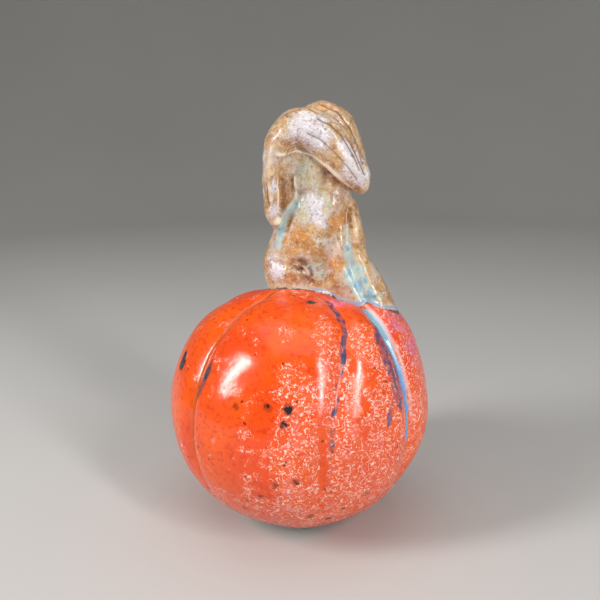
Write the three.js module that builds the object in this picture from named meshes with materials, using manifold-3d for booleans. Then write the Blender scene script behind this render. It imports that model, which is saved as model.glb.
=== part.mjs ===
// A glazed stoneware pumpkin: a closed, hollow ball of clay with pressed-in creases,
// and a tall hand-folded clay stem luted onto its shoulder.
// Millimetres, +Z up, origin at the centre of the flat foot, front towards -Y.

import * as THREE from 'three';
import { mergeVertices } from 'three/addons/utils/BufferGeometryUtils.js';
import Module from 'manifold-3d';

const wasm = await Module();
wasm.setup();

// ---- Driving dimensions -------------------------------------------------------------

const BODY_RADIUS = 55;
const BODY_HALF_HEIGHT = 51.5;
const BODY_CENTRE_HEIGHT = 50;
const WALL = 6.3;
const FLOOR = 6.5;
const VENT_RADIUS = 3;
const VENT_OFFSET = 8;
const JOINT_GAP = 0.3;

// The lobes swell at the shoulder, most of all on the side that the stem leans to.
const SHOULDER_LATITUDE = 46;
const SHOULDER_SPREAD = 20;
const SHOULDER_SWELL = 1.6;
const SHOULDER_EXTRA = 3.2;
const SHOULDER_EXTRA_AZIMUTH = 85;

// Creases run from the stem down the ball and fade out below its middle.
const CREASE_FOOT_LATITUDE = -40;
const CREASE_FULL_LATITUDE = 0;
const CREASE_TOP_LATITUDE = 66;
const CREASE_END_LATITUDE = 84;

// Each crease: depth and half width in mm, and its course as [latitude, azimuth] stops.
// Azimuth is 0 at the front and grows towards +X. The lobes lie between them, in order.
const CREASES = [
  { depth: 2.6, width: 5.0, course: [[-40, -50], [0, -52], [50, -53], [68, -62]] },
  { depth: 1.8, width: 5.2, course: [[-40, 9], [3, 11], [23, 16], [40, 22], [56, 32], [69, 42]] },
  { depth: 3.0, width: 4.8, course: [[-40, 56], [3, 54], [41, 54.5], [51, 58], [56, 62], [61, 69]] },
  { depth: 2.8, width: 5.2, course: [[-40, 112], [20, 114], [60, 124]] },
  { depth: 2.4, width: 5.4, course: [[-40, 163], [20, 160], [60, 158]] },
  { depth: 2.8, width: 5.0, course: [[-40, 207], [20, 210], [60, 214]] },
  { depth: 2.6, width: 5.2, course: [[-40, 256], [20, 255], [60, 250]] },
];

// The stem is folded up from strands of clay. Each station of a strand is
// [x, y, z, half width, half depth]; the depth always lies front to back.
const STEM_STRANDS = {
  column: [
    [13, 8, 84, 22, 14],
    [12, 8, 94, 23, 14.5],
    [7.4, 7, 103, 19.8, 13.5],
    [5.2, 6, 109, 19.2, 13],
    [5.2, 4.5, 114.5, 17.6, 12.5],
    [5.8, 3, 121, 16, 12],
    [7.2, 2.5, 128, 15, 11.5],
    [9.4, 2, 134, 13.6, 11.5],
    [11.6, 2, 141, 11.8, 11],
    [11.2, 2, 149, 12.4, 11],
    [9.5, 2, 157, 12.5, 11],
    [8, 2, 166, 10, 10],
  ],
  right_rib: [
    [21, 3, 140, 3, 6],
    [22.8, 3, 131, 3.3, 8],
    [24.3, 2.5, 123, 3.6, 8.5],
    [25, 2, 114, 4, 8.5],
    [28.3, 1, 105.5, 5.5, 9.5],
    [31.6, 0, 98.5, 6.2, 10],
    [36.2, -1, 92, 5, 9.5],
    [41.5, -2, 84, 3.4, 7],
  ],
  hood: [
    [-7, -1, 125, 2.5, 5],
    [-8.8, -2, 131.5, 3.4, 8],
    [-9.3, -3, 140, 3.6, 9.5],
    [-9, -4, 150, 3.6, 10.5],
    [-6.3, -5, 160, 5.2, 11],
    [1.5, -6, 165.5, 7.4, 10.5],
    [10.5, -6.5, 162.5, 8.2, 10],
    [18, -6, 154, 7.5, 9.5],
    [24, -4.5, 147, 6.6, 8.5],
    [27, -3, 139.5, 5, 7],
  ],
  back_fold: [
    [0, 6, 164, 6, 8],
    [6.5, 5, 168, 6, 9],
    [12.5, 5, 169.8, 5.8, 9.5],
    [18.5, 5, 165.5, 6, 10],
    [22, 5, 157, 5.6, 10],
    [24.5, 4, 149, 5.2, 9.5],
    [25.2, 3, 142, 4.5, 7.5],
  ],
  web: [
    [-3.5, 6, 126, 5, 6],
    [-4.5, 6, 140, 7, 7],
    [-3.5, 5.5, 152, 7, 8],
    [0, 5, 164, 8, 9],
  ],
};

// ---- Mesh resolution ----------------------------------------------------------------

const LOBE_COLUMNS = 10;
const BODY_ROWS = 30;
const HOLLOW_GRID = [36, 16];
const STRAND_GRID = [16, 18];
const VENT_SIDES = 16;
const STRAND_END_SHARPNESS = 6;

// ---- Helpers ------------------------------------------------------------------------

const toRadians = THREE.MathUtils.degToRad;

// Smooth value at x along stops [[x, value], ...]; it holds its end values outside them.
function follow(stops, x) {
  const last = stops.length - 1;
  if (x <= stops[0][0]) return stops[0][1];
  if (x >= stops[last][0]) return stops[last][1];
  const i = stops.findIndex((stop) => stop[0] > x) - 1;
  const t = THREE.MathUtils.smoothstep(x, stops[i][0], stops[i + 1][0]);
  const linear = (x - stops[i][0]) / (stops[i + 1][0] - stops[i][0]);
  return THREE.MathUtils.lerp(stops[i][1], stops[i + 1][1], (t + linear) / 2);
}

// A sphere's grid pushed into shape: pointAt(turn, rise) places each vertex, with turn
// once around the axis from 0 to 1 and rise from 0 at the lower pole to 1 at the upper.
function closedSurface([around, rows], pointAt) {
  const grid = new THREE.SphereGeometry(1, around, rows);
  const uv = grid.attributes.uv;
  const position = grid.attributes.position;
  for (let i = 0; i < position.count; i += 1) {
    const rise = uv.getY(i);
    const turn = rise < 1e-6 || rise > 1 - 1e-6 ? 0 : uv.getX(i) % 1;
    const point = pointAt(turn, rise);
    position.setXYZ(i, point.x, point.y, point.z);
  }
  return grid;
}

// A closed geometry as a solid that can be joined and cut.
function solid(geometry) {
  const bare = geometry.clone();
  bare.deleteAttribute('normal');
  bare.deleteAttribute('uv');
  const merged = mergeVertices(bare);
  return new wasm.Manifold(new wasm.Mesh({
    numProp: 3,
    vertProperties: new Float32Array(merged.attributes.position.array),
    triVerts: new Uint32Array(merged.index.array),
  }));
}

// A finished solid as a named mesh with its glaze colour.
function sculpt(name, body, colour, roughness) {
  const { vertProperties, triVerts } = body.getMesh();
  const geometry = new THREE.BufferGeometry();
  geometry.setAttribute('position', new THREE.BufferAttribute(vertProperties, 3));
  geometry.setIndex(new THREE.BufferAttribute(triVerts, 1));
  geometry.computeVertexNormals();
  const material = new THREE.MeshStandardMaterial({ color: colour, roughness, metalness: 0 });
  const mesh = new THREE.Mesh(geometry, material);
  mesh.name = name;
  return mesh;
}

// ---- Ball ---------------------------------------------------------------------------

// How far the surface stands out of the plain ellipsoid, in mm: swollen shoulders
// less the creases. A crease is a rounded V across its course.
function relief(azimuth, latitude) {
  const shoulder = Math.exp(-(((latitude - SHOULDER_LATITUDE) / SHOULDER_SPREAD) ** 2));
  const lean = (1 + Math.cos(toRadians(azimuth - SHOULDER_EXTRA_AZIMUTH))) / 2;
  const swell = shoulder * (SHOULDER_SWELL + SHOULDER_EXTRA * lean ** 2);
  const fade = THREE.MathUtils.smoothstep(latitude, CREASE_FOOT_LATITUDE, CREASE_FULL_LATITUDE)
    * (1 - THREE.MathUtils.smoothstep(latitude, CREASE_TOP_LATITUDE, CREASE_END_LATITUDE));
  const ringRadius = BODY_RADIUS * Math.cos(toRadians(latitude));
  let pressed = 0;
  for (const { depth, width, course } of CREASES) {
    const away = THREE.MathUtils.euclideanModulo(azimuth - follow(course, latitude) + 180, 360) - 180;
    const across = Math.abs(toRadians(away)) * ringRadius / width;
    pressed += depth * fade * Math.exp(-(across ** 1.4));
  }
  return swell - pressed;
}

// The azimuth of a grid column: columns keep their share of the lobe between two
// creases, so that every crease lies along one of them. They close up near the creases.
function columnAzimuth(turn, latitude) {
  const lobe = Math.floor(turn * CREASES.length);
  const share = turn * CREASES.length - lobe;
  const eased = (share + (1 - Math.cos(share * Math.PI)) / 2) / 2;
  const left = follow(CREASES[lobe].course, latitude);
  const right = lobe + 1 < CREASES.length
    ? follow(CREASES[lobe + 1].course, latitude)
    : follow(CREASES[0].course, latitude) + 360;
  return THREE.MathUtils.lerp(left, right, eased);
}

// The ball's outer surface, lifted by a given amount all over.
function ballGeometry(lift) {
  return closedSurface([LOBE_COLUMNS * CREASES.length, BODY_ROWS], (turn, rise) => {
    const latitude = rise * 180 - 90;
    const azimuth = columnAzimuth(turn, latitude);
    const out = lift + relief(azimuth, latitude);
    const ring = (BODY_RADIUS + out) * Math.cos(toRadians(latitude));
    return new THREE.Vector3(
      ring * Math.sin(toRadians(azimuth)),
      -ring * Math.cos(toRadians(azimuth)),
      BODY_CENTRE_HEIGHT + (BODY_HALF_HEIGHT + out) * Math.sin(toRadians(latitude)),
    );
  });
}

// The hollow inside, as the potter's closed form leaves it: a plain ellipsoid.
function hollowGeometry() {
  const radius = BODY_RADIUS - WALL;
  const halfHeight = (BODY_CENTRE_HEIGHT + BODY_HALF_HEIGHT - WALL - FLOOR) / 2;
  const geometry = new THREE.SphereGeometry(1, ...HOLLOW_GRID);
  geometry.scale(radius, halfHeight, radius);
  geometry.rotateX(Math.PI / 2);
  geometry.translate(0, 0, FLOOR + halfHeight);
  return geometry;
}

// The hole pierced through the foot, so that the closed form doesn't burst in the kiln.
function ventGeometry() {
  const geometry = new THREE.CylinderGeometry(VENT_RADIUS, VENT_RADIUS, 4 * FLOOR, VENT_SIDES);
  geometry.rotateX(Math.PI / 2);
  geometry.translate(0, VENT_OFFSET, 0);
  return geometry;
}

// Everything under the foot, cut away flat at z = 0.
function benchGeometry() {
  const size = 4 * BODY_RADIUS;
  const geometry = new THREE.BoxGeometry(size, size, size);
  geometry.translate(0, 0, -size / 2);
  return geometry;
}

function makeBody() {
  const ball = solid(ballGeometry(0))
    .subtract(solid(benchGeometry()))
    .subtract(solid(hollowGeometry()))
    .subtract(solid(ventGeometry()));
  return sculpt('body', ball, 0xf0641c, 0.18);
}

// ---- Stem ---------------------------------------------------------------------------

// A strand: an ellipse carried along a smooth curve through its stations, closed by
// round ends. Its depth stays as near to front-to-back as the curve allows.
function strandGeometry(stations) {
  const centres = stations.map(([x, y, z]) => new THREE.Vector3(x, y, z));
  const halves = stations.map((station) => new THREE.Vector3(station[3], station[4], 0));
  const path = new THREE.CatmullRomCurve3(centres);
  const size = new THREE.CatmullRomCurve3(halves);
  const backward = new THREE.Vector3(0, 1, 0);
  return closedSurface(STRAND_GRID, (turn, rise) => {
    const closing = (1 - Math.abs(2 * rise - 1) ** STRAND_END_SHARPNESS) ** 0.5;
    const tangent = path.getTangent(rise);
    const depthways = backward.clone().addScaledVector(tangent, -tangent.y).normalize();
    const widthways = new THREE.Vector3().crossVectors(depthways, tangent);
    const half = size.getPoint(rise).multiplyScalar(closing);
    const angle = turn * 2 * Math.PI;
    return path.getPoint(rise)
      .addScaledVector(widthways, half.x * Math.cos(angle))
      .addScaledVector(depthways, half.y * Math.sin(angle));
  });
}

function makeStem() {
  const strands = Object.values(STEM_STRANDS).map((stations) => solid(strandGeometry(stations)));
  const folded = strands.reduce((sum, strand) => sum.add(strand));
  const seated = folded.subtract(solid(ballGeometry(JOINT_GAP)));
  return sculpt('stem', seated, 0xcf9a5a, 0.3);
}

const pumpkin = new THREE.Group();
pumpkin.add(makeBody(), makeStem());

export default pumpkin;
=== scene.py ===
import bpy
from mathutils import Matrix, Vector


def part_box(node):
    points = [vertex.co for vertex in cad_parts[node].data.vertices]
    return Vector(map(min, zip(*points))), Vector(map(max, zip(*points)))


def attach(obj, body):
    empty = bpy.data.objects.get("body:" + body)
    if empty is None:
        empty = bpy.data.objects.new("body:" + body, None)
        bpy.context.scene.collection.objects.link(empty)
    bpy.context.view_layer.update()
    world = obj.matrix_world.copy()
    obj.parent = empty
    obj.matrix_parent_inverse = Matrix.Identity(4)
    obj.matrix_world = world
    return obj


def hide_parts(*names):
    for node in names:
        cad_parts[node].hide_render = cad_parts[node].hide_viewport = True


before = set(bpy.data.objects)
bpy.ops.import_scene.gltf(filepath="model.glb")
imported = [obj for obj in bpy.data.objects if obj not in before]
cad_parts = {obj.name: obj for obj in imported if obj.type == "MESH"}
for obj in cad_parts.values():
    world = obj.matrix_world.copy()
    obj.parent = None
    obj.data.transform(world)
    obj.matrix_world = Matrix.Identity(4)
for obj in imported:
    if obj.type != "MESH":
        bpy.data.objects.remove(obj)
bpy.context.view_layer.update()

import math
from functools import partial

import bpy
import numpy as np
from mathutils import Matrix, Vector

MM = 0.001

# ---- Camera --------------------------------------------------------------------------
# A normal lens level with the top of the stem, looking slightly down on the piece and
# held about a degree out of level.

EYE = Vector((1.2, -284.0, 169.5)) * MM
LOOK_DOWN = math.radians(14.65)
OUT_OF_LEVEL = math.radians(-1.0)

camera = bpy.data.objects.new("camera", bpy.data.cameras.new("camera"))
camera.data.lens = 42.0
camera.data.sensor_width = 36.0
camera.data.clip_start = 0.01
camera.matrix_world = (
    Matrix.Translation(EYE)
    @ Matrix.Rotation(math.pi / 2 - LOOK_DOWN, 4, "X")
    @ Matrix.Rotation(OUT_OF_LEVEL, 4, "Z")
)
bpy.context.scene.collection.objects.link(camera)
bpy.context.scene.camera = camera


# ---- Studio sweep --------------------------------------------------------------------
# A pale painted studio floor that rises all round into a curved backdrop. It is matt
# emulsion paint, rolled on, so it is smooth and faintly uneven in tone.

SWEEP_FLOOR_RADIUS = 900.0
SWEEP_CURVE_RADIUS = 900.0
SWEEP_STEPS = 48
CLOUD_SIZE = 300.0


def linear(colour):
    """An sRGB hex colour as linear red, green, blue and alpha: c / 12.92 in the shadows, and
    ((c + 0.055) / 1.055) to the power 2.4 above."""
    parts = np.array([int(colour[i:i + 2], 16) / 255 for i in (1, 3, 5)])
    light = np.where(parts <= 0.04045, parts / 12.92, ((parts + 0.055) / 1.055) ** 2.4)
    return (*light.tolist(), 1.0)


def add_node(tree, kind, *inputs, out=0, **named):
    """Adds a shader node and returns one of its outputs. Inputs go in by number, or by name with
    a capital letter: a socket is linked, a hex colour is turned linear, and anything else is
    the value. A name in small letters is a setting."""
    made = tree.nodes.new("ShaderNode" + kind)
    for name, value in named.items():
        if name[0].islower():
            setattr(made, name, value)
    by_name = {name.replace("_", " "): value for name, value in named.items() if name[0].isupper()}
    for name, value in {**dict(enumerate(inputs)), **by_name}.items():
        if isinstance(value, bpy.types.NodeSocket):
            tree.links.new(value, made.inputs[name])
        else:
            made.inputs[name].default_value = linear(value) if isinstance(value, str) else value
    return made.outputs[out] if made.outputs else None


def new_material(name):
    """A material with an empty node tree, and add_node for that tree."""
    material = bpy.data.materials.new(name)
    material.use_nodes = True
    material.node_tree.nodes.clear()
    return material, partial(add_node, material.node_tree)


def ring_parts(rings, poles=True):
    """The points and faces of rings of points, an array of rows by columns by 3, each ring closed
    on itself. With poles, the first and the last ring are single points, so it all closes."""
    rows, columns = rings.shape[:2]
    step = np.arange(columns)
    following = (step + 1) % columns
    if poles:
        points = np.concatenate([rings[0, :1], rings[1:-1].reshape(-1, 3), rings[-1, :1]])
        first = 1 + np.arange(rows - 3)[:, None] * columns
    else:
        points = rings.reshape(-1, 3)
        first = np.arange(rows - 1)[:, None] * columns
    above = first + columns
    corners = [first + step, first + following, above + following, above + step]
    faces = np.stack(corners, -1).reshape(-1, 4).tolist()
    if poles:
        top = np.full_like(step, len(points) - 1)
        last = len(points) - 1 - columns
        faces += np.stack([0 * step, 1 + following, 1 + step], -1).tolist()
        faces += np.stack([last + step, last + following, top], -1).tolist()
    return points, faces


def smooth_mesh(name, points, faces):
    """A smooth-shaded mesh from points in mm and its faces."""
    mesh = bpy.data.meshes.new(name)
    mesh.from_pydata((points * MM).tolist(), [], faces)
    mesh.polygons.foreach_set("use_smooth", np.ones(len(faces), bool))
    return mesh


def show(name, mesh):
    """An object for a mesh, at the origin, linked into the scene."""
    piece = bpy.data.objects.new(name, mesh)
    bpy.context.scene.collection.objects.link(piece)
    return piece


# The profile turns once round the Z axis: flat from the middle out, then a quarter circle up.
turn = np.linspace(0, 2 * math.pi, 4 * SWEEP_STEPS, endpoint=False)
flat = np.linspace(1, SWEEP_FLOOR_RADIUS, 6)
bend = np.linspace(0, math.pi / 2, SWEEP_STEPS)[1:]
radius = np.concatenate([[0], flat, SWEEP_FLOOR_RADIUS + SWEEP_CURVE_RADIUS * np.sin(bend)])
height = np.concatenate([[0], 0 * flat, SWEEP_CURVE_RADIUS * (1 - np.cos(bend))])
sweep_rings = np.stack(
    [radius[:, None] * np.cos(turn), radius[:, None] * np.sin(turn), height[:, None] + 0 * turn], -1
)
sweep = show("studio_sweep", smooth_mesh("studio_sweep", *ring_parts(sweep_rings, poles=False)))

# Emulsion paint: matt, pale warm grey, with a faint cloudiness.
paint, add = new_material("rolled_emulsion_paint")
cloud = add("TexNoise", Vector=add("TexCoord", out="Object"), Scale=1 / (CLOUD_SIZE * MM), Detail=2.0)
tone = add("MixRGB", cloud, "#bdbbb8", "#c6c4c1")
surface = add("BsdfPrincipled", Base_Color=tone, Roughness=0.8)
add("OutputMaterial", Surface=surface)
sweep.data.materials.append(paint)


# ---- Lights --------------------------------------------------------------------------
# Two tall soft boxes, left and right of the camera, put the long window-like streaks on the
# glaze. A wide overhead panel and a dim room fill the rest.

ROOM_COLOUR = "#c2c1be"
ROOM_STRENGTH = 0.24
LIGHT_AIM = Vector((0.0, 0.0, 80.0)) * MM
SOFT_BOXES = [
    # name, azimuth from the front, elevation, distance, width, height in mm, power in watts
    ("left_soft_box", -67.0, 29.0, 800.0, 170.0, 400.0, 5.2),
    ("right_soft_box", 38.0, 24.0, 800.0, 75.0, 560.0, 4.6),
    ("top_panel", 0.0, 88.0, 1100.0, 1100.0, 1100.0, 4.0),
]
for name, azimuth, elevation, distance, width, tall, power in SOFT_BOXES:
    data = bpy.data.lights.new(name, "AREA")
    data.shape = "RECTANGLE"
    data.size = width * MM
    data.size_y = tall * MM
    data.energy = power
    lamp = bpy.data.objects.new(name, data)
    bearing = math.radians(azimuth)
    rise = math.radians(elevation)
    outward = Vector((
        math.cos(rise) * math.sin(bearing),
        -math.cos(rise) * math.cos(bearing),
        math.sin(rise),
    ))
    lamp.location = LIGHT_AIM + outward * distance * MM
    lamp.rotation_euler = outward.to_track_quat("Z", "Y").to_euler()
    lamp.visible_camera = False
    bpy.context.scene.collection.objects.link(lamp)

world = bpy.data.worlds.new("dim_studio")
world.use_nodes = True
world.node_tree.nodes["Background"].inputs["Color"].default_value = linear(ROOM_COLOUR)
world.node_tree.nodes["Background"].inputs["Strength"].default_value = ROOM_STRENGTH
bpy.context.scene.world = world
bpy.context.scene.view_settings.view_transform = "Standard"


# ---- Ball ----------------------------------------------------------------------------
# The body is stoneware clay thrown as a closed hollow ball. Seven creases are pressed into
# it with a rounded tool, and it is dipped in orange glaze down to a bare foot, where a vent
# hole lets the air out in the kiln.

ball_low, ball_high = (np.array(corner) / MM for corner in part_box("body"))
BALL_RADIUS = (ball_high[0] - ball_low[0]) / 2
BALL_TOP = ball_high[2]
BALL_CENTRE_HEIGHT = 50.0
BALL_HALF_HEIGHT = BALL_TOP - BALL_CENTRE_HEIGHT
BALL_ROWS = 200
LOBE_COLUMNS = 58

# Each crease: depth, half width on its left and right flank in mm, and its course as
# (latitude, azimuth) stops. Azimuth is 0 at the front and grows towards +X.
CREASES = [
    (2.7, 6.0, 3.6, [(-40, -50), (0, -52), (50, -53), (68, -62)]),
    (1.9, 5.0, 5.0, [(-40, 9), (3, 11), (23, 16), (40, 22), (56, 32), (69, 42)]),
    (2.9, 4.6, 4.6, [(-40, 56), (3, 54), (41, 54.5), (51, 58), (56, 62), (61, 69)]),
    (2.8, 5.0, 5.4, [(-40, 112), (20, 114), (60, 124)]),
    (2.4, 5.4, 5.2, [(-40, 163), (20, 160), (60, 158)]),
    (2.8, 4.6, 5.4, [(-40, 207), (20, 210), (60, 214)]),
    (2.6, 5.2, 5.0, [(-40, 256), (20, 255), (60, 250)]),
]
CREASE_FADE = (-40, 0, 66, 84)
SHARP_LINE_DEPTH = 0.55
SHARP_LINE_WIDTH = 0.8
SHARP_FROM_DEPTH = (2.0, 2.4)
SHOULDER_LATITUDE, SHOULDER_SPREAD = 46.0, 20.0
SHOULDER_SWELL, SHOULDER_EXTRA, SHOULDER_EXTRA_AZIMUTH = 1.6, 3.2, 85.0
# Hand-made unevenness: how far the skin wanders and over what length, in mm.
WANDER, WANDER_LENGTH = 0.28, 38
SMALL_WANDER, SMALL_WANDER_LENGTH = 0.06, 11
VENT_RADIUS, VENT_OFFSET, VENT_DEPTH, VENT_WALL = 3.0, 8.0, 5.5, 0.9
FOOT_EASE = 0.5
GLAZE_THICKNESS = 0.35
GLAZE_EDGE_LATITUDE = -62.0
GLAZE_STEP = 0.6
# The bead that the glaze draws into along its edge: height, half width, distance from it.
GLAZE_BEAD, GLAZE_BEAD_WIDTH, GLAZE_BEAD_BACK = 0.25, 1.1, 1.2


def smooth(x, low, high):
    """0 below low, 1 above high, and t * t * (3 - 2 t) between them."""
    t = np.clip((x - low) / (high - low), 0, 1)
    return t * t * (3 - 2 * t)


def follow(stops, x):
    """The value at x along (place, value) stops: in each stretch, halfway between a straight
    line and a smooth step."""
    places, values = np.array(stops, float).T
    i = np.clip(np.searchsorted(places, x, side="right") - 1, 0, len(places) - 2)
    share = np.clip((x - places[i]) / (places[i + 1] - places[i]), 0, 1)
    eased = (share + smooth(share, 0, 1)) / 2
    return values[i] + (values[i + 1] - values[i]) * eased


def ripple(points, wavelength, seed, waves=14):
    """A smooth random field between about -1 and 1: the sum of plane waves in random
    directions, cos(k . p + phase), all of about one wavelength in mm."""
    draw = np.random.default_rng(seed)
    heading = draw.normal(size=(waves, 3))
    heading /= np.linalg.norm(heading, axis=1, keepdims=True)
    k = heading * (2 * math.pi / wavelength) * draw.uniform(0.7, 1.4, (waves, 1))
    phase = draw.uniform(0, 2 * math.pi, waves)
    total = np.zeros(points.shape[:-1])
    for wave, offset in zip(k, phase):
        total += np.cos(points @ wave + offset)
    return total / math.sqrt(waves)


def ball_point(azimuth, latitude, out):
    """A point on the ball, in mm: the ellipsoid (R cos, H sin) of the latitude, with both
    half axes grown by out."""
    a, b = np.radians(azimuth), np.radians(latitude)
    ring = (BALL_RADIUS + out) * np.cos(b)
    rise = BALL_CENTRE_HEIGHT + (BALL_HALF_HEIGHT + out) * np.sin(b)
    return np.stack([ring * np.sin(a), -ring * np.cos(a), rise], -1)


def across(azimuth, latitude, course):
    """The signed distance in mm, along the parallel, from a crease's course."""
    away = (azimuth - follow(course, latitude) + 180) % 360 - 180
    return np.radians(away) * BALL_RADIUS * np.cos(np.radians(latitude))


def relief(azimuth, latitude):
    """How far the clay stands out of the plain ellipsoid: the shoulder's swell, a bell curve
    over latitude, less the creases. A crease is depth * exp(-(distance / width) ** 1.5), with
    a fine sharp line at its bottom."""
    shoulder = np.exp(-(((latitude - SHOULDER_LATITUDE) / SHOULDER_SPREAD) ** 2))
    lean = (1 + np.cos(np.radians(azimuth - SHOULDER_EXTRA_AZIMUTH))) / 2
    swell = shoulder * (SHOULDER_SWELL + SHOULDER_EXTRA * lean ** 2)
    start, full, end, gone = CREASE_FADE
    fade = smooth(latitude, start, full) * (1 - smooth(latitude, end, gone))
    pressed = 0
    for depth, left_width, right_width, course in CREASES:
        sharp = SHARP_LINE_DEPTH * smooth(depth, *SHARP_FROM_DEPTH)
        away = across(azimuth, latitude, course)
        width = np.where(away < 0, left_width, right_width)
        pressed = pressed + depth * np.exp(-(np.abs(away) / width) ** 1.5)
        pressed = pressed + sharp * np.exp(-((away / SHARP_LINE_WIDTH) ** 2))
    return swell - pressed * fade


# Columns keep their share of the lobe between two creases and close up near them, so that
# every crease lies along a column.
latitude = np.linspace(-90, 90, BALL_ROWS)[:, None]
share = np.arange(LOBE_COLUMNS) / LOBE_COLUMNS
share = (share + (1 - np.cos(share * math.pi)) / 2) / 2
lobes = []
for i, (_, _, _, course) in enumerate(CREASES):
    following = CREASES[(i + 1) % len(CREASES)][3]
    left = follow(course, latitude)
    right = follow(following, latitude) + (360 if i == len(CREASES) - 1 else 0)
    lobes.append(left + (right - left) * share)
azimuth = np.concatenate(lobes, 1)
latitude = latitude + 0 * azimuth

plain = ball_point(azimuth, latitude, 0)
edge_wander = 2.2 * ripple(plain, 30, 5) + 0.8 * ripple(plain, 9, 6)
glazed_by = np.radians(latitude - GLAZE_EDGE_LATITUDE) * BALL_RADIUS + edge_wander
fade_at_poles = np.cos(np.radians(latitude))
out = relief(azimuth, latitude) + WANDER * ripple(plain, WANDER_LENGTH, 1) * fade_at_poles
out = out + SMALL_WANDER * ripple(plain, SMALL_WANDER_LENGTH, 2) * fade_at_poles
out = out - GLAZE_THICKNESS * (1 - smooth(glazed_by, -GLAZE_STEP, GLAZE_STEP))
out = out + GLAZE_BEAD * np.exp(-((glazed_by - GLAZE_BEAD_BACK) / GLAZE_BEAD_WIDTH) ** 2)
ball_rings = ball_point(azimuth, latitude, out)

# The foot is beaten flat: heights under zero are raised to it with a slightly soft edge.
# The vent is a round hole with steep walls.
rise = ball_rings[..., 2]
rise = (rise + np.sqrt(rise ** 2 + FOOT_EASE ** 2)) / 2
rise = np.where(rise < FOOT_EASE / 2, 0.0, rise - FOOT_EASE / 2 * np.exp(-rise))
from_vent = np.hypot(ball_rings[..., 0], ball_rings[..., 1] - VENT_OFFSET)
vent = (1 - smooth(from_vent, VENT_RADIUS - VENT_WALL, VENT_RADIUS)) * (latitude < 0)
ball_rings[..., 2] = np.clip(rise, 0, None) + VENT_DEPTH * vent
ball = show("glazed_ball", smooth_mesh("glazed_ball", *ring_parts(ball_rings)))


def paint_masks(mesh, masks):
    """Stores named arrays, one value per vertex, as float attributes."""
    for name, values in masks.items():
        layer = mesh.attributes.new(name, "FLOAT", "POINT")
        layer.data.foreach_set("value", np.ascontiguousarray(values, np.float32))


def material_fields(add, masks, mottles):
    """The fields that a glaze is laid by: each painted mask, and each mottle, a noise on object
    coordinates whose grain is given in mm, with its detail, roughness, distortion and shift."""
    place = add("TexCoord", out="Object")
    fields = {name: add("Attribute", attribute_name=name, out="Fac") for name in masks}
    for name, (grain, detail, roughness, distortion, shift) in mottles.items():
        moved = add("VectorMath", place, (shift, -shift, 2 * shift))
        look = {"Scale": 1 / (grain * MM), "Detail": detail, "Roughness": roughness}
        fields[name] = add("TexNoise", Vector=moved, Distortion=distortion, **look)
    return fields


def broken_edge(add, edge, mottle, reach):
    """A field whose edge is broken up: the mottle moves it by up to the reach either way."""
    return add("Math", edge, add("MapRange", mottle, 0.25, 0.75, -reach, reach))


def lay_over(add, ground, fields, layers):
    """Lays each layer's colour over the ground. Its amount is the product of its limits, each
    (field, low, high, amount below low, amount above high) with a smooth step between."""
    for colour, *limits in layers:
        amount = 1.0
        for field, low, high, below, above in limits:
            step = add(
                "MapRange", fields[field], low, high, below, above, interpolation_type="SMOOTHSTEP"
            )
            amount = add("Math", amount, step, operation="MULTIPLY")
        ground = add("MixRGB", amount, ground, colour)
    return ground


def grey(value):
    """A plain number as a colour, so that it can be laid like one."""
    return (value, value, value, 1.0)


def by_vertex(grid):
    """A rows by columns array in the order of ring_parts' points, with single poles."""
    return np.concatenate([grid[0, :1], grid[1:-1].ravel(), grid[-1, :1]])


def bell(distance, width):
    """exp(-(distance / width) squared)."""
    return np.exp(-((distance / width) ** 2))


def near(place, centre, spread):
    """A soft patch on the ball round an (azimuth, latitude) centre, with spreads in degrees."""
    turned = (place[0] - centre[0] + 180) % 360 - 180
    return np.exp(-((turned / spread[0]) ** 2) - ((place[1] - centre[1]) / spread[1]) ** 2)


# Where the crystals bloom: thick over the lower front and the right, thin on the left.
where = (azimuth, latitude)
bloom = 1.0 * near(where, (4, -14), (22, 34)) + 0.9 * near(where, (34, -6), (26, 36))
bloom += 0.8 * near(where, (17, 36), (9, 18)) + 0.9 * near(where, (74, 16), (20, 38))
bloom += 0.7 * near(where, (0, 24), (6, 14)) + 0.5 * near(where, (34, 42), (12, 16))
bloom += 0.7 * near(where, (150, -5), (34, 34)) + 0.6 * near(where, (215, 10), (26, 40))
bloom += 0.25 * near(where, (-30, -38), (40, 14))
bloom *= 1 - 0.9 * near(where, (9, 5), (2.6, 46)) - 0.75 * near(where, (27, 22), (3.2, 26))
bloom += 0.22 * ripple(plain, 16, 3) + 0.12 * ripple(plain, 7, 4)

# Streaks of glaze that have run down the ball, with edges that wander by up to half a mm.
right_crease = CREASES[2][3]
wander = 0.3 * ripple(plain, 9, 7) + 0.15 * ripple(plain, 4, 8)


def run_of_glaze(course, low_width, high_width, low, high, soft=0.35):
    """A run down the ball, along a course of (latitude, azimuth) stops, between a low and a high
    latitude: 1 within its half width in mm, which changes evenly from the low end to the high
    end, with a wandering edge and ends that taper out."""
    along = np.clip((latitude - low) / (high - low), 0, 1)
    half = low_width + (high_width - low_width) * along
    ends = smooth(latitude, low - 3, low + 3) * (1 - smooth(latitude, high - 4, high + 4))
    away = np.abs(across(azimuth, latitude, course) + wander)
    return 1 - smooth(away / np.maximum(half * ends, 0.02), 1 - soft, 1 + soft)


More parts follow.
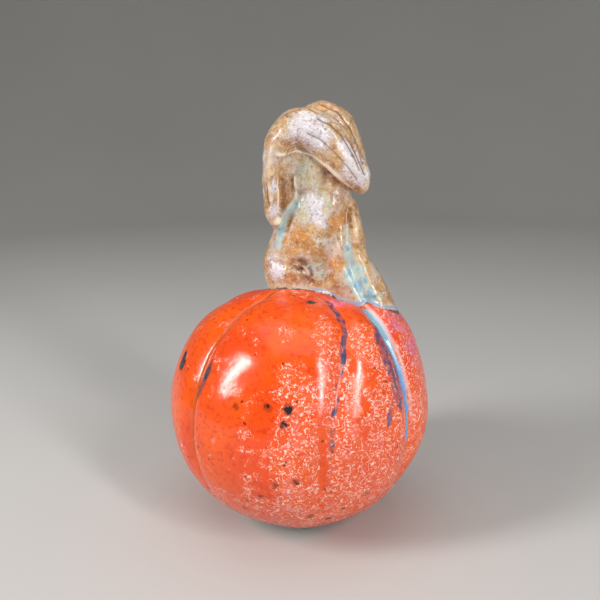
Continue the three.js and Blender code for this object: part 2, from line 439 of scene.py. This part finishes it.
violet_course = [(3, 12.6), (14, 13.2), (27, 17.2), (42, 24), (55, 32), (63, 36.3), (69, 41.5)]
violet = run_of_glaze(violet_course, 0.8, 1.4, 32, 70)
lower_run = run_of_glaze(violet_course, 0.9, 1.0, 3, 40)
violet = np.maximum(violet, lower_run * smooth(ripple(plain, 7, 9), 0.2, 0.9))
violet = np.maximum(violet, run_of_glaze(violet_course, 1.3, 0.9, 3, 10))
slate = run_of_glaze([(12, 46.3), (23, 45), (33, 44.5), (41, 46), (48, 51)], 1.7, 2.4, 13, 47)
slate = np.maximum(slate, run_of_glaze([(8, 38), (12, 39), (20, 43)], 1.6, 0.8, 9, 17))
slate = np.maximum(slate, run_of_glaze([(12, 49), (24, 49.2), (37, 50)], 0.9, 1.5, 14, 38))
pool = run_of_glaze([(14, -49.6), (26, -47.4), (34, -46)], 1.0, 2.7, 17, 33)
turquoise = run_of_glaze(right_crease, 0.5, 2.7, -12, 58)
halo = 0.7 * near(where, (78, 44), (16, 10)) + 0.5 * near(where, (74, 30), (12, 10))
halo += 1.1 * near(where, (47, 68), (13, 3.6)) + 0.4 * near(where, (60, 63), (10, 4))
lilac_flank = run_of_glaze([(-12, 54), (9, 52.3), (27, 51.8), (41, 51), (50, 53)], 0.4, 1.2, 10, 52)

# Iron spots: (azimuth, latitude, radius in mm).
IRON_SPOTS = [
    (-12.4, 21, 1.25), (-3.8, 20.9, 1.45), (-5.7, 14.6, 1.3), (17.2, 70.2, 1.6), (-26.2, 19.8, 0.8),
    (-1.5, -10.1, 1.1), (-9.8, -12.1, 0.9), (-16.5, -19.9, 0.8), (-50.1, -27.5, 1.2),
    (-71.5, 27.0, 2.6), (-73.0, 30.0, 1.8), (51.5, 47.5, 1.4), (47.5, 40.5, 1.3), (29.9, -23.4, 0.9),
    (12.0, 3.6, 0.9), (5, -33, 0.9), (14, -38, 1.2), (20, -31, 0.8), (-27, -31, 0.8), (128, 30, 1.6),
    (140, 8, 1.3), (187, 34, 1.7), (196, 12, 1.2), (238, -4, 1.5), (246, 25, 1.4), (277, 12, 1.1),
    (95, -8, 1.3), (174, -18, 1.2),
]
FAR_AWAY = 9.0
spot_edge = np.full(azimuth.shape, 99.0)
for spot_azimuth, spot_latitude, size in IRON_SPOTS:
    centre = ball_point(spot_azimuth, spot_latitude, 1.0)
    spot_edge = np.minimum(spot_edge, np.linalg.norm(ball_rings - centre, axis=-1) - size)

# How far the nearest sharp crease is. Below the lobes' waist the creases fade out.
sharp_creases = [course for depth, _, _, course in CREASES if depth >= SHARP_FROM_DEPTH[0]]
from_crease = np.min([np.abs(across(azimuth, latitude, course)) for course in sharp_creases], 0)
from_crease = from_crease + FAR_AWAY * (1 - smooth(latitude, -34, -8))

ball_masks = {
    "bloom": by_vertex(bloom),
    "violet": by_vertex(violet),
    "slate": by_vertex(slate),
    "pool": by_vertex(pool),
    "turquoise": by_vertex(turquoise),
    "turquoise_side": by_vertex(across(azimuth, latitude, right_crease) / 3),
    "halo": by_vertex(halo),
    "lilac_flank": by_vertex(lilac_flank),
    "spot_edge": by_vertex(spot_edge),
    "crease": by_vertex(from_crease),
    "glazed_by": by_vertex(glazed_by),
    "latitude": by_vertex(latitude),
}
paint_masks(ball.data, ball_masks)

# Orange stoneware glaze, dipped and fired: a clear glassy coat over a strong orange ground.
# Titanium crystals float in it as pinkish white worms about 2 mm long, iron bleeds through as
# brown pinholes and blue-black spots, and it breaks to tan where it is thin on an edge.
glaze, add = new_material("orange_stoneware_glaze")
fields = material_fields(add, ball_masks, {
    # grain in mm, detail, roughness, distortion, shift
    "tone": (26, 3, 0.5, 0, 0),
    "red_cloud": (42, 2, 0.5, 0, 3),
    "grit": (2.1, 3, 0.65, 0, 7),
    "bloom_break": (4.3, 2, 0.5, 0, 5),
    "milk": (5.3, 3, 0.5, 0, 2),
    "worm": (1.9, 1.5, 0.5, 0.7, 0),
    "worm_break": (1.3, 1, 0.5, 0, 8),
    "fleck_zone": (3.8, 1, 0.5, 0, 1),
    "bleed": (3.8, 3, 0.6, 0, 4),
    "magenta": (5.3, 2, 0.5, 0, 9),
    "streaky": (3.3, 2, 0.5, 0, 6),
    "slate_hue": (2.4, 2, 0.5, 0, 11),
    "violet_hue": (8.3, 1, 0.5, 0, 12),
    "rag": (1.6, 2, 0.5, 0, 0),
    "clay_grain": (2.4, 3, 0.5, 0, 0),
    "peel": (4.2, 2, 0.5, 0, 13),
    "fine": (1.1, 2, 0.5, 0, 14),
})

# Crystal worms are the thin contour lines of a noise, broken up by a finer one. Flecks are
# cells 1.3 mm apart.
WORM_LINE = (0.012, 0.042)
WORM_LIMITS = (("worm_break", 0.4, 0.5, 0, 1), ("bloomed", 0.2, 0.55, 0, 1))
fields["bloomed"] = broken_edge(add, fields["bloom"], fields["bloom_break"], 0.34)
slope = add("Math", fields["worm"], 0.5, operation="SUBTRACT")
contour = add("Math", slope, operation="ABSOLUTE")
fields["worm_line"] = add("MapRange", contour, *WORM_LINE, 1.0, 0.0)
object_place = add("TexCoord", out="Object")
fields["fleck"] = add("TexVoronoi", Vector=object_place, Scale=1 / (1.3 * MM))
# Pinholes sit in cells 4.8 mm apart, and about a third of the cells have one.
pin_cells = {"Vector": object_place, "Scale": 1 / (4.8 * MM)}
fields["pin"] = broken_edge(add, add("TexVoronoi", **pin_cells), fields["fine"], 0.05)
pin_colour = add("TexVoronoi", out="Color", **pin_cells)
fields["pin_chosen"] = add("SeparateColor", pin_colour)
fields["spot"] = broken_edge(add, fields["spot_edge"], fields["rag"], 0.75)

ground = lay_over(add, "#ea4c10", fields, [
    # the melt: brighter and redder clouds, and grit that shows through as deeper orange
    ("#f35d0b", ("tone", 0.42, 0.62, 0, 1)),
    ("#e0441c", ("red_cloud", 0.45, 0.7, 0, 0.55)),
    ("#c93406", ("grit", 0.5, 0.66, 0, 0.6)),
    # crystal bloom: milky salmon under pinkish white worms and flecks
    ("#ea6432", ("bloomed", 0.12, 0.8, 0, 1), ("milk", 0.35, 0.65, 0.2, 0.8)),
    ("#ee7d72", ("bloomed", 0.4, 0.9, 0, 1), ("bleed", 0.52, 0.64, 0, 0.55)),
    ("#ffd3c4", ("worm_line", 0, 1, 0, 0.9), *WORM_LIMITS),
    ("#ffc8b8", ("fleck", 0.14, 0.3, 0.65, 0), ("fleck_zone", 0.5, 0.6, 0, 1), ("bloomed", 0.1, 0.5, 0, 1)),
    # thin tan glaze on a crease's lip, and brown along its bottom
    ("#c9772f", ("crease", 0.3, 0.9, 0, 0.35), ("crease", 1.3, 1.9, 1, 0)),
    ("#7c2f16", ("crease", 0.15, 0.65, 0.75, 0)),
    # pink and magenta bleed round the stem's foot
    ("#ee86a6", ("halo", 0, 1, 0, 1), ("bleed", 0.36, 0.6, 0, 0.8)),
    ("#a8459c", ("halo", 0, 1, 0, 1), ("bleed", 0.36, 0.6, 0, 1), ("magenta", 0.48, 0.62, 0, 0.8)),
    # slate and violet runs, and the pool in the left crease
    ("#454a6b", ("slate", 0, 1, 0, 1), ("streaky", 0.35, 0.6, 0.4, 0.95)),
    ("#8f7099", ("slate", 0, 1, 0, 1), ("slate_hue", 0.5, 0.66, 0, 0.55)),
    ("#55304f", ("violet", 0, 1, 0, 1), ("streaky", 0.38, 0.58, 0.3, 0.9)),
    (
        "#2e3d68", ("violet", 0, 1, 0, 1), ("violet_hue", 0.42, 0.58, 0, 0.9),
        ("streaky", 0.38, 0.58, 0.3, 1),
    ),
    ("#2c4052", ("pool", 0, 1, 0, 1), ("streaky", 0.35, 0.6, 0.6, 1)),
    ("#5b4f98", ("lilac_flank", 0, 1, 0, 0.75)),
    # the long run in the right crease: turquoise above, sky blue below, navy on its left
    ("#95bdc6", ("turquoise", 0, 1, 0, 1)),
    ("#5a93cc", ("turquoise", 0, 1, 0, 1), ("latitude", 16, 50, 0.95, 0.1)),
    ("#33497f", ("turquoise", 0, 1, 0, 1), ("turquoise_side", -0.5, -0.1, 0.9, 0)),
    ("#d8d2e2", ("turquoise", 0, 1, 0, 1), ("turquoise_side", 0.3, 0.6, 0, 0.7)),
    (
        "#f6c9c2", ("turquoise_side", 0.45, 0.8, 0, 0.6), ("turquoise_side", 0.9, 1.3, 1, 0),
        ("latitude", -5, 25, 0, 1),
    ),
    # iron: toasted rim, blue-black spot, greyer heart, and brown pinholes under 1 mm
    ("#8a2d08", ("spot", 0.3, 1.2, 0.7, 0)),
    ("#211f2c", ("spot", -0.15, 0.3, 1, 0)),
    ("#46526e", ("spot", -1.5, -1.0, 0.6, 0)),
    ("#6d2009", ("pin", 0.07, 0.15, 0.85, 0), ("pin_chosen", 0.66, 0.7, 0, 1)),
    # the glaze's toasted edge, and bare clay past it: buff-grey, dry, with fine grog
    ("#9a3c14", ("glazed_by", 0.2, 1.6, 0.7, 0)),
    ("#b7b09f", ("glazed_by", -0.15, 0.2, 1, 0)),
    ("#8f8a7a", ("glazed_by", -0.15, 0.2, 1, 0), ("clay_grain", 0.4, 0.65, 0, 1)),
    ("#a9785a", ("glazed_by", -2.5, 0.0, 0, 0.6), ("glazed_by", -0.15, 0.2, 1, 0)),
])

# The coat: glassy, rougher where crystals break its skin, and dry on bare clay. Its skin has
# a fine orange peel of 4 mm grain; crystals stand up and pinholes are dimples.
gloss = lay_over(add, grey(0.18), fields, [
    (grey(0.32), ("bloomed", 0.12, 0.9, 0, 1)),
    (grey(0.85), ("glazed_by", -0.15, 0.2, 1, 0)),
])
level = lay_over(add, fields["peel"], fields, [
    (grey(0.95), ("worm_line", 0, 1, 0, 0.5), *WORM_LIMITS),
    (grey(0.0), ("pin", 0.07, 0.2, 0.9, 0), ("pin_chosen", 0.66, 0.7, 0, 1)),
])
skin_bump = add("Bump", Height=level, Distance=0.18 * MM, Strength=0.6)
surface = add("BsdfPrincipled", Base_Color=ground, Roughness=gloss, IOR=1.54, Normal=skin_bump)
add("OutputMaterial", Surface=surface)
ball.data.materials.append(glaze)

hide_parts("body")
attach(ball, "root")


# ---- Stem ----------------------------------------------------------------------------
# The stem is one lump of the same clay, folded up by hand from soft strands: a column, a
# rib that flares down its right side, a hood brought up the left and over the top, a second
# fold behind it, and the webs between. It is luted to the ball with slip and glazed in ochre.

STEM_STRANDS = {
    "column": [
        (13, 8, 84, 22, 14), (12, 8, 94, 23, 14.5), (7.4, 7, 103, 19.8, 13.5), (5.2, 6, 109, 19.2, 13),
        (5.2, 4.5, 114.5, 17.6, 12.5), (5.8, 3, 121, 16, 12), (7.2, 2.5, 128, 15, 11.5),
        (9.4, 2, 134, 13.6, 11.5), (11.6, 2, 141, 11.8, 11), (11.2, 2, 149, 12.4, 11),
        (9.5, 2, 157, 12.5, 11), (8, 2, 166, 10, 10),
    ],
    "right_rib": [
        (21, 3, 140, 3, 6), (22.8, 3, 131, 3.3, 8), (24.3, 2.5, 123, 3.6, 8.5), (25, 2, 114, 4, 8.5),
        (28.3, 1, 105.5, 5.5, 9.5), (31.6, 0, 98.5, 6.2, 10), (36.2, -1, 92, 5, 9.5),
        (41.5, -2, 84, 3.4, 7),
    ],
    "hood": [
        (-7, -1, 125, 2.5, 5), (-8.8, -2, 131.5, 3.4, 8), (-9.3, -3, 140, 3.6, 9.5),
        (-9, -4, 150, 3.6, 10.5), (-6.3, -5, 160, 5.2, 11), (1.5, -6, 165.5, 7.4, 10.5),
        (10.5, -6.5, 162.5, 8.2, 10), (18, -6, 154, 7.5, 9.5), (24, -4.5, 147, 6.6, 8.5),
        (27, -3, 139.5, 5, 7),
    ],
    "back_fold": [
        (0, 6, 164, 6, 8), (6.5, 5, 168, 6, 9), (12.5, 5, 169.8, 5.8, 9.5), (18.5, 5, 165.5, 6, 10),
        (22, 5, 157, 5.6, 10), (24.5, 4, 149, 5.2, 9.5), (25.2, 3, 142, 4.5, 7.5),
    ],
    "web": [
        (-3, 3.5, 126, 5, 7), (-4, 2.5, 133, 6, 7.6), (-4, 1.5, 141, 7, 8.2), (-3, 0, 150, 8, 8.6),
        (0, 0, 158, 9, 8.6), (2, 4, 165, 8, 9),
    ],
    "throat": [
        (5, 1, 140, 8, 9.5), (6, -0.5, 148, 9, 9.5), (8, -1, 154, 9, 9), (9, -1, 160, 8, 8),
    ],
    "right_web": [
        (16.5, 2, 138, 5, 7.6), (17.4, 2, 129, 5.6, 8.4), (17.6, 1.5, 119, 7, 8.8),
        (18.6, 1.5, 110, 8.4, 8.9), (21.6, 1, 102, 9.6, 9), (27, 0, 94, 9, 9), (33, -1, 86, 6, 8),
    ],
}
STRAND_ROWS, STRAND_COLUMNS = 90, 56
STRAND_END_SHARPNESS = 6
STEM_VOXEL = 0.55
STEM_SMOOTHING = 9


def spline(stops, t):
    """A Catmull-Rom curve through the stops: between two stops it is the cubic whose slope at
    each is half the way from the stop before to the stop after."""
    stops = np.array(stops, float)
    stops = np.concatenate([2 * stops[:1] - stops[1:2], stops, 2 * stops[-1:] - stops[-2:-1]])
    place = np.clip(t, 0, 1) * (len(stops) - 3)
    i = np.minimum(place.astype(int), len(stops) - 4)
    s = (place - i)[:, None]
    a, b, c, d = stops[i], stops[i + 1], stops[i + 2], stops[i + 3]
    return 0.5 * (
        2 * b + (c - a) * s + (2 * a - 5 * b + 4 * c - d) * s ** 2 + (3 * b - a - 3 * c + d) * s ** 3
    )


def strand_rings(stations):
    """An ellipse carried along the curve through the stations, with its depth held as near to
    front-to-back as the curve allows, and closed by round ends: (1 - |2t - 1| ** 6) ** 0.5."""
    t = (1 - np.cos(np.linspace(0, math.pi, STRAND_ROWS))) / 2
    curve = spline(stations, t)
    centre, halves = curve[:, :3], curve[:, 3:]
    tangent = np.gradient(centre, axis=0)
    tangent /= np.linalg.norm(tangent, axis=1, keepdims=True)
    depthways = np.array([0, 1, 0]) - tangent * tangent[:, 1:2]
    depthways /= np.linalg.norm(depthways, axis=1, keepdims=True)
    widthways = np.cross(depthways, tangent)
    closing = np.sqrt(np.clip(1 - np.abs(2 * t - 1) ** STRAND_END_SHARPNESS, 0, 1))[:, None]
    angle = np.linspace(0, 2 * math.pi, STRAND_COLUMNS, endpoint=False)[None, :, None]
    wide = (widthways * halves[:, :1] * closing)[:, None]
    deep = (depthways * halves[:, 1:] * closing)[:, None]
    return centre[:, None] + wide * np.cos(angle) + deep * np.sin(angle)


# Joined strands become one skin by a voxel remesh, and smoothing rounds the joins as a
# thumb does.
strand_points = []
strand_faces = []
for stations in STEM_STRANDS.values():
    points, faces = ring_parts(strand_rings(stations))
    behind = sum(len(block) for block in strand_points)
    strand_points.append(points)
    strand_faces += [[corner + behind for corner in face] for face in faces]
lump = show("stem_lump", smooth_mesh("stem_lump", np.concatenate(strand_points), strand_faces))
remesh = lump.modifiers.new("join", "REMESH")
remesh.mode = "VOXEL"
remesh.voxel_size = STEM_VOXEL * MM
remesh.use_smooth_shade = True
thumb = lump.modifiers.new("thumb", "SMOOTH")
thumb.factor = 0.5
thumb.iterations = STEM_SMOOTHING
bpy.context.view_layer.update()
finished = lump.evaluated_get(bpy.context.evaluated_depsgraph_get())
joined = bpy.data.meshes.new_from_object(finished)
bpy.data.objects.remove(lump)
joined.name = "folded_stem"
stem = show("folded_stem", joined)

skin = np.empty(len(joined.vertices) * 3)
joined.vertices.foreach_get("co", skin)
skin = skin.reshape(-1, 3) / MM
normals = np.empty(len(joined.vertices) * 3)
joined.vertex_normals.foreach_get("vector", normals)
normals = normals.reshape(-1, 3)
edges = np.empty(len(joined.edges) * 2, int)
joined.edges.foreach_get("vertices", edges)
edges = edges.reshape(-1, 2)
valence = np.bincount(edges.ravel(), minlength=len(skin))


def spread(values, rounds):
    """Values averaged with those of their neighbours along the mesh's edges, again and again."""
    values = values.copy()
    for _ in range(rounds):
        gathered = np.zeros_like(values)
        np.add.at(gathered, edges[:, 0], values[edges[:, 1]])
        np.add.at(gathered, edges[:, 1], values[edges[:, 0]])
        values = (values + gathered / valence.reshape((-1,) + (1,) * (values.ndim - 1))) / 2
    return values


def from_line(points, stops):
    """The distance in mm from each point to the nearest place on a line through the stops."""
    stops = np.array(stops, float)
    nearest = np.full(len(points), 99.0)
    for start, end in zip(stops[:-1], stops[1:]):
        run = end - start
        share = np.clip((points - start) @ run / (run @ run), 0, 1)[:, None]
        nearest = np.minimum(nearest, np.linalg.norm(points - start - share * run, axis=1))
    return nearest


def height_over_ball(points):
    """How far points lie outside the ball, in mm: the length of the point seen from the ball's
    centre, less the ball's own radius in that direction."""
    seen = points - np.array([0, 0, BALL_CENTRE_HEIGHT])
    ring = np.hypot(seen[:, 0], seen[:, 1])
    lat = np.degrees(np.arctan2(seen[:, 2] / BALL_HALF_HEIGHT, ring / BALL_RADIUS))
    azi = np.degrees(np.arctan2(seen[:, 0], -seen[:, 1]))
    shell = ball_point(azi, lat, relief(azi, lat)) - np.array([0, 0, BALL_CENTRE_HEIGHT])
    return np.linalg.norm(seen, axis=1) - np.linalg.norm(shell, axis=1)


# Tool and finger marks on the stem's front: (x, z) stops in mm, depth raised (pressed in
# when negative), and half width.
STEM_MARKS = {
    "fold_line": (
        [(7, 172.2), (12.5, 170.8), (18, 166.6), (22, 160), (25, 153), (27.6, 147.4)], -0.65, 0.7
    ),
    "inner_line": ([(9, 169), (13.6, 166.8), (18.5, 162), (22, 156.3), (25, 149.5)], -0.4, 0.6),
    "outer_line": ([(11, 174.3), (17.2, 171), (21.8, 165.4), (25, 158), (26.8, 152)], -0.55, 0.6),
    "brow_line": ([(5, 163.6), (10, 160.8), (15, 156.6), (20, 151), (24, 145.5)], -0.4, 0.8),
    "lip_line": ([(-6, 156), (1, 157.2), (7, 155.4), (13, 151.4), (18, 146.6), (22, 142)], 1.0, 1.2),
    "flap_line": ([(-11.3, 157), (-12, 148), (-11.3, 141), (-10.4, 136)], -0.5, 0.8),
    "column_ridge": ([(0.2, 147), (0.6, 143), (-0.3, 138.4), (-3.4, 134), (-7.4, 129.3)], 1.5, 1.2),
    "flap_hollow": ([(-6.2, 145), (-6, 139), (-6.4, 134.5)], -1.8, 2.4),
    "centre_valley": ([(11.8, 147.5), (10.5, 141.8), (9, 136), (8, 130)], -0.7, 1.6),
    "neck_fold": ([(16, 143), (14.4, 136), (14, 128), (13, 119), (13.4, 110)], -0.3, 1.3),
    "waist_dent": ([(3, 124), (3.2, 118), (2.5, 114)], -1.0, 4.0),
    "left_fold": ([(-2, 131), (-5, 124), (-6.5, 117), (-6, 111)], -0.9, 1.2),
    "foot_fold": ([(-9, 112), (-3, 111.2), (3, 112.5), (9, 109)], -0.8, 1.4),
    "rib_groove": ([(20.3, 138), (20, 129), (20.4, 119), (22, 110), (25.4, 102), (29, 95)], -0.7, 1.5),
    "foot_pit": ([(1.4, 109.6), (2.4, 109)], -1.6, 1.0),
    "low_pit": ([(5.8, 104.6), (6.6, 104)], -1.5, 0.9),
    "flare_pit": ([(31.2, 98.1), (31.8, 96.6)], -1.5, 0.9),
}
# The same for the back.
STEM_BACK_MARKS = {
    "back_fold_line": ([(-5, 166), (1, 161), (5, 152), (6, 141), (4.5, 131)], -0.9, 1.0),
    "crown_line": ([(15, 170), (12.5, 162), (13, 152), (16.5, 142)], -0.6, 0.8),
    "back_rib_groove": ([(19.5, 136), (19, 125), (20.5, 113), (24.5, 103)], -1.0, 1.5),
    "back_flap_line": ([(-8, 156), (-8.6, 146), (-7.4, 136)], -0.6, 0.8),
    "back_waist_dent": ([(4, 126), (3, 117)], -1.1, 4.0),
    "back_pit": ([(9, 108), (10, 107.4)], -1.3, 1.0),
}

# A mark is seen square on, so its distance is taken in x and z, and only on skin that faces
# its way.
face_on = skin * np.array([1, 0, 1])
mark_distance = {}
for side, marks in ((-1, STEM_MARKS), (1, STEM_BACK_MARKS)):
    facing = smooth(side * normals[:, 1], 0.05, 0.4)
    for name, (stops, _, _) in marks.items():
        line = [(x, 0, z) for x, z in stops]
        mark_distance[name] = from_line(face_on, line) + FAR_AWAY * (1 - facing)
relief_marks = np.zeros(len(skin))
for name, (_, depth, width) in (STEM_MARKS | STEM_BACK_MARKS).items():
    relief_marks += depth * bell(mark_distance[name], width)
# Unevenness left by the fingers: (depth, wavelength in mm, seed).
for depth, wavelength, seed in ((0.25, 13, 21), (0.09, 5.5, 22), (0.03, 2.6, 23)):
    relief_marks += depth * ripple(skin, wavelength, seed)
# The slip that lutes the stem down swells its foot, dying away over a mm or two.
SLIP_SWELL, SLIP_REACH, SLIP_DEPTH = 0.9, 1.4, 3.0
over_ball = height_over_ball(skin)
relief_marks += SLIP_SWELL * np.exp(-np.maximum(over_ball, 0) / SLIP_REACH) * (over_ball > -SLIP_DEPTH)
skin = skin + normals * relief_marks[:, None]
joined.vertices.foreach_set("co", (skin * MM).ravel())
joined.update()

# How a thick glaze lies: it thins to pale on edges that stand out and pools in the hollows.
FINE_ROUNDS, COARSE_ROUNDS = 14, 20
rounded = spread(skin, FINE_ROUNDS)
standing_out = ((skin - rounded) * normals).sum(1)
standing_out = spread(standing_out, 2)
folds_apart = spread(((skin - spread(rounded, COARSE_ROUNDS)) * normals).sum(1), 2)
# Where turquoise has run: (x, y, z) stops and half width in mm.
turquoise_paths = [
    ([(20.5, -6, 134), (20.6, -6.5, 124), (21.6, -7, 115)], 1.6),
    ([(21.6, -7, 115), (23.6, -8.3, 107), (26.6, -9, 100)], 2.6),
    ([(23.6, -8.3, 107), (28, -9, 99), (31, -9, 93), (33, -9, 88)], 4.0),
    ([(0.3, -6.3, 135.8), (-3.8, -5, 131.7), (-6.4, -4.5, 125.5), (-7.4, -3.7, 118.6)], 1.8),
    ([(4, -9, 157.5), (8.5, -10, 154.4), (12.5, -10.6, 151.2)], 0.8),
]
turquoise = sum(bell(from_line(skin, stops), width) for stops, width in turquoise_paths)


def patches(places):
    """Soft round patches of glaze: the sum of bell curves of the distance from each place."""
    total = np.zeros(len(skin))
    for *centre, size in places:
        total += bell(np.linalg.norm(skin - np.array(centre), axis=1), size)
    return total


# Where each glaze patch lies: (x, y, z, radius in mm).
lilac = patches([
    (4.5, -16, 165, 6.5), (9, -16.5, 161, 4.0), (23.5, -13, 151.5, 5.5), (26, -11, 146, 4.0),
    (19, -13, 158, 3.5), (-8, -12, 143, 3.2), (-7.8, -9.4, 134, 3.2), (8, -9, 136, 4.0),
    (9, -9.5, 130, 3.2), (-8.4, -3, 108.5, 4.0), (-10.5, -3.5, 114, 2.6), (6, 19, 160, 7.0),
    (-9, 8, 150, 6.0), (22, 14, 150, 7.0), (4, 19, 112, 8.0),
])
grey_green = patches([
    (3.5, -7, 150, 6.0), (5.5, -8.5, 140, 6.5), (3, -8.5, 132, 5.0), (11, -9, 135, 4.5), (-5, -5, 154, 4.0),
])
amber = patches([
    (14, 0, 172, 6.0), (0, -8, 171, 5.0), (-2, -8, 122, 5.0), (0.5, -9, 122, 6.5), (-5, -1, 141, 5.5),
    (17, -8, 130, 6.0), (17.5, -6, 114, 6.5), (10, 14, 128, 9.0), (-6, 14, 140, 8.0),
])
mint = patches([(7.5, -8, 111.5, 4.0), (10, -8, 107.5, 3.5), (32, -10, 98, 3.5), (-5, -4, 128, 3.0)])
umber = patches([
    (1, -7, 112, 4.5), (4, -7.5, 108.5, 3.2), (-2, -12, 170, 2.6), (13, -9.6, 149.5, 3.0),
    (17, -8, 146, 2.4), (5, -9, 104.5, 3.0),
])
SCORED = ("fold", "inner", "outer", "brow", "flap", "back_fold", "crown", "back_flap")
scored = sum(bell(mark_distance[f"{name}_line"], 0.5) for name in SCORED)
# Along the column ridge and the hood's lip the glaze is painted near white: partly glaze running thin on
# the ridge, partly a painted highlight.
ridged = sum(bell(mark_distance[name], 0.9) for name in ("column_ridge", "lip_line"))
stem_masks = {
    "scored": scored,
    "ridged": ridged,
    "standing_out": standing_out,
    "folds_apart": folds_apart,
    "turquoise": turquoise,
    "lilac": lilac,
    "grey_green": grey_green,
    "amber": amber,
    "mint": mint,
    "umber": umber,
    "over_ball": over_ball,
    "right_side": smooth(skin[:, 0], 3, 10),
}
paint_masks(joined, stem_masks)

# Ochre ash glaze over the same clay: glassy, running, cream where thin and amber where
# thick, with a web of lilac-white crystals, umber specks and turquoise in the grooves.
ochre, add = new_material("ochre_ash_glaze")
fields = material_fields(add, stem_masks, {
    # grain in mm, detail, roughness, distortion, shift
    "tone": (11, 5, 0.65, 0.6, 0),
    "brown": (6, 5, 0.65, 0.7, 3),
    "grey": (8.3, 5, 0.7, 0.5, 8),
    "amber_break": (4.8, 3, 0.5, 0, 1),
    "green_break": (4.2, 4, 0.65, 0.4, 4),
    "mint_break": (2.4, 3, 0.5, 0, 5),
    "zone_break": (3.6, 5, 0.75, 0.5, 7),
    "zone": (9, 3, 0.5, 0, 2),
    "web": (1.9, 2, 0.55, 0.8, 6),
    "craze": (2.4, 2, 0.6, 1.2, 17),
    "web_break": (1.25, 1, 0.5, 0, 9),
    "dark_fleck": (1.4, 2, 0.5, 0, 10),
    "speck": (1.8, 3, 0.65, 0.3, 11),
    "umber_break": (2.6, 3, 0.5, 0, 12),
    "blue_hue": (3.8, 3, 0.6, 0, 13),
    "wash_break": (3.3, 4, 0.65, 0.4, 14),
    "seam_break": (4.2, 3, 0.5, 0, 15),
    "lumps": (3.0, 3, 0.55, 0.5, 16),
})
STEM_WEB_LINE = (0.01, 0.045)
for name in ("web", "craze"):
    slope = add("Math", fields[name], 0.5, operation="SUBTRACT")
    contour = add("Math", slope, operation="ABSOLUTE")
    fields[f"{name}_line"] = add("MapRange", contour, *STEM_WEB_LINE, 1.0, 0.0)
fields["lilac_zone"] = broken_edge(add, fields["lilac"], fields["zone_break"], 0.8)
fields["washed"] = broken_edge(add, fields["turquoise"], fields["wash_break"], 0.35)
fields["seam"] = broken_edge(add, fields["over_ball"], fields["seam_break"], 0.9)

ground = lay_over(add, "#b28049", fields, [
    # the melt: cream where it is thin, brown and grey clouds where crystals have settled
    ("#d4ae79", ("tone", 0.4, 0.58, 0, 1)),
    ("#a8713f", ("brown", 0.52, 0.66, 0, 0.65)),
    ("#c3b9a8", ("grey", 0.5, 0.64, 0, 0.75)),
    ("#8c6440", ("craze_line", 0, 1, 0, 0.5), ("web_break", 0.4, 0.6, 1, 0.2)),
    ("#cf8a3c", ("amber", 0.15, 1.0, 0, 1), ("amber_break", 0.36, 0.6, 0.15, 0.9)),
    ("#bfc0a8", ("grey_green", 0.1, 0.9, 0, 1), ("green_break", 0.36, 0.58, 0.3, 0.95)),
    ("#a5c3aa", ("mint", 0.25, 0.9, 0, 1), ("mint_break", 0.4, 0.6, 0, 0.9)),
    ("#a06c3c", ("standing_out", -0.3, -0.06, 0.6, 0)),
    ("#97754f", ("folds_apart", -2.4, -0.9, 0.5, 0)),
    # lilac-white crystal patches with a web of fine lines and dark flecks
    ("#dad7df", ("lilac_zone", 0.1, 0.9, 0, 0.9)),
    ("#cbc3c4", ("zone", 0.5, 0.68, 0, 0.5)),
    (
        "#f3ebee", ("web_line", 0, 1, 0, 1), ("web_break", 0.42, 0.55, 0, 1),
        ("lilac_zone", 0.0, 0.7, 0.3, 0.95),
    ),
    ("#8b7a8c", ("dark_fleck", 0.6, 0.68, 0, 0.7), ("lilac_zone", 0.1, 0.7, 0, 1)),
    ("#7a4a26", ("speck", 0.57, 0.66, 0, 0.55)),
    ("#6a3f28", ("umber", 0.25, 0.95, 0, 1), ("umber_break", 0.38, 0.6, 0.1, 0.85)),
    # scored lines hold dark glaze; edges that stand out run thin and pale
    ("#7b5334", ("scored", 0.35, 0.95, 0, 0.8)),
    ("#f6e4c6", ("standing_out", 0.07, 0.36, 0, 0.8)),
    # the column ridge and the hood's lip: thin pale glaze with a painted highlight laid along them
    ("#f3ead8", ("ridged", 0.4, 0.95, 0, 0.8)),
    # turquoise in the grooves
    ("#b9d2cb", ("washed", 0.1, 0.8, 0, 0.8)),
    ("#79aabf", ("washed", 0.3, 0.9, 0, 0.85), ("blue_hue", 0.42, 0.58, 0, 1)),
    # the bead where the stem meets the ball: cream, then blue on the right, then a dark line
    ("#cfc0ae", ("seam", 1.2, 3.0, 0.5, 0)),
    ("#7f9fca", ("seam", 0.5, 0.9, 0, 0.85), ("seam", 1.1, 1.6, 1, 0), ("right_side", 0, 1, 0, 1)),
    ("#4a2c2c", ("seam", 0.0, 0.6, 0.85, 0)),
])
gloss = lay_over(add, grey(0.14), fields, [(grey(0.34), ("lilac_zone", 0.1, 1.0, 0, 1))])
level = lay_over(add, fields["lumps"], fields, [
    (grey(0.9), ("web_line", 0, 1, 0, 0.35), ("web_break", 0.42, 0.55, 0, 1)),
    (grey(0.1), ("speck", 0.57, 0.66, 0, 0.5)),
])
skin_bump = add("Bump", Height=level, Distance=0.4 * MM, Strength=0.5)
surface = add("BsdfPrincipled", Base_Color=ground, Roughness=gloss, IOR=1.52, Normal=skin_bump)
add("OutputMaterial", Surface=surface)
joined.materials.clear()
joined.materials.append(ochre)

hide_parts("stem")
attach(stem, "root")
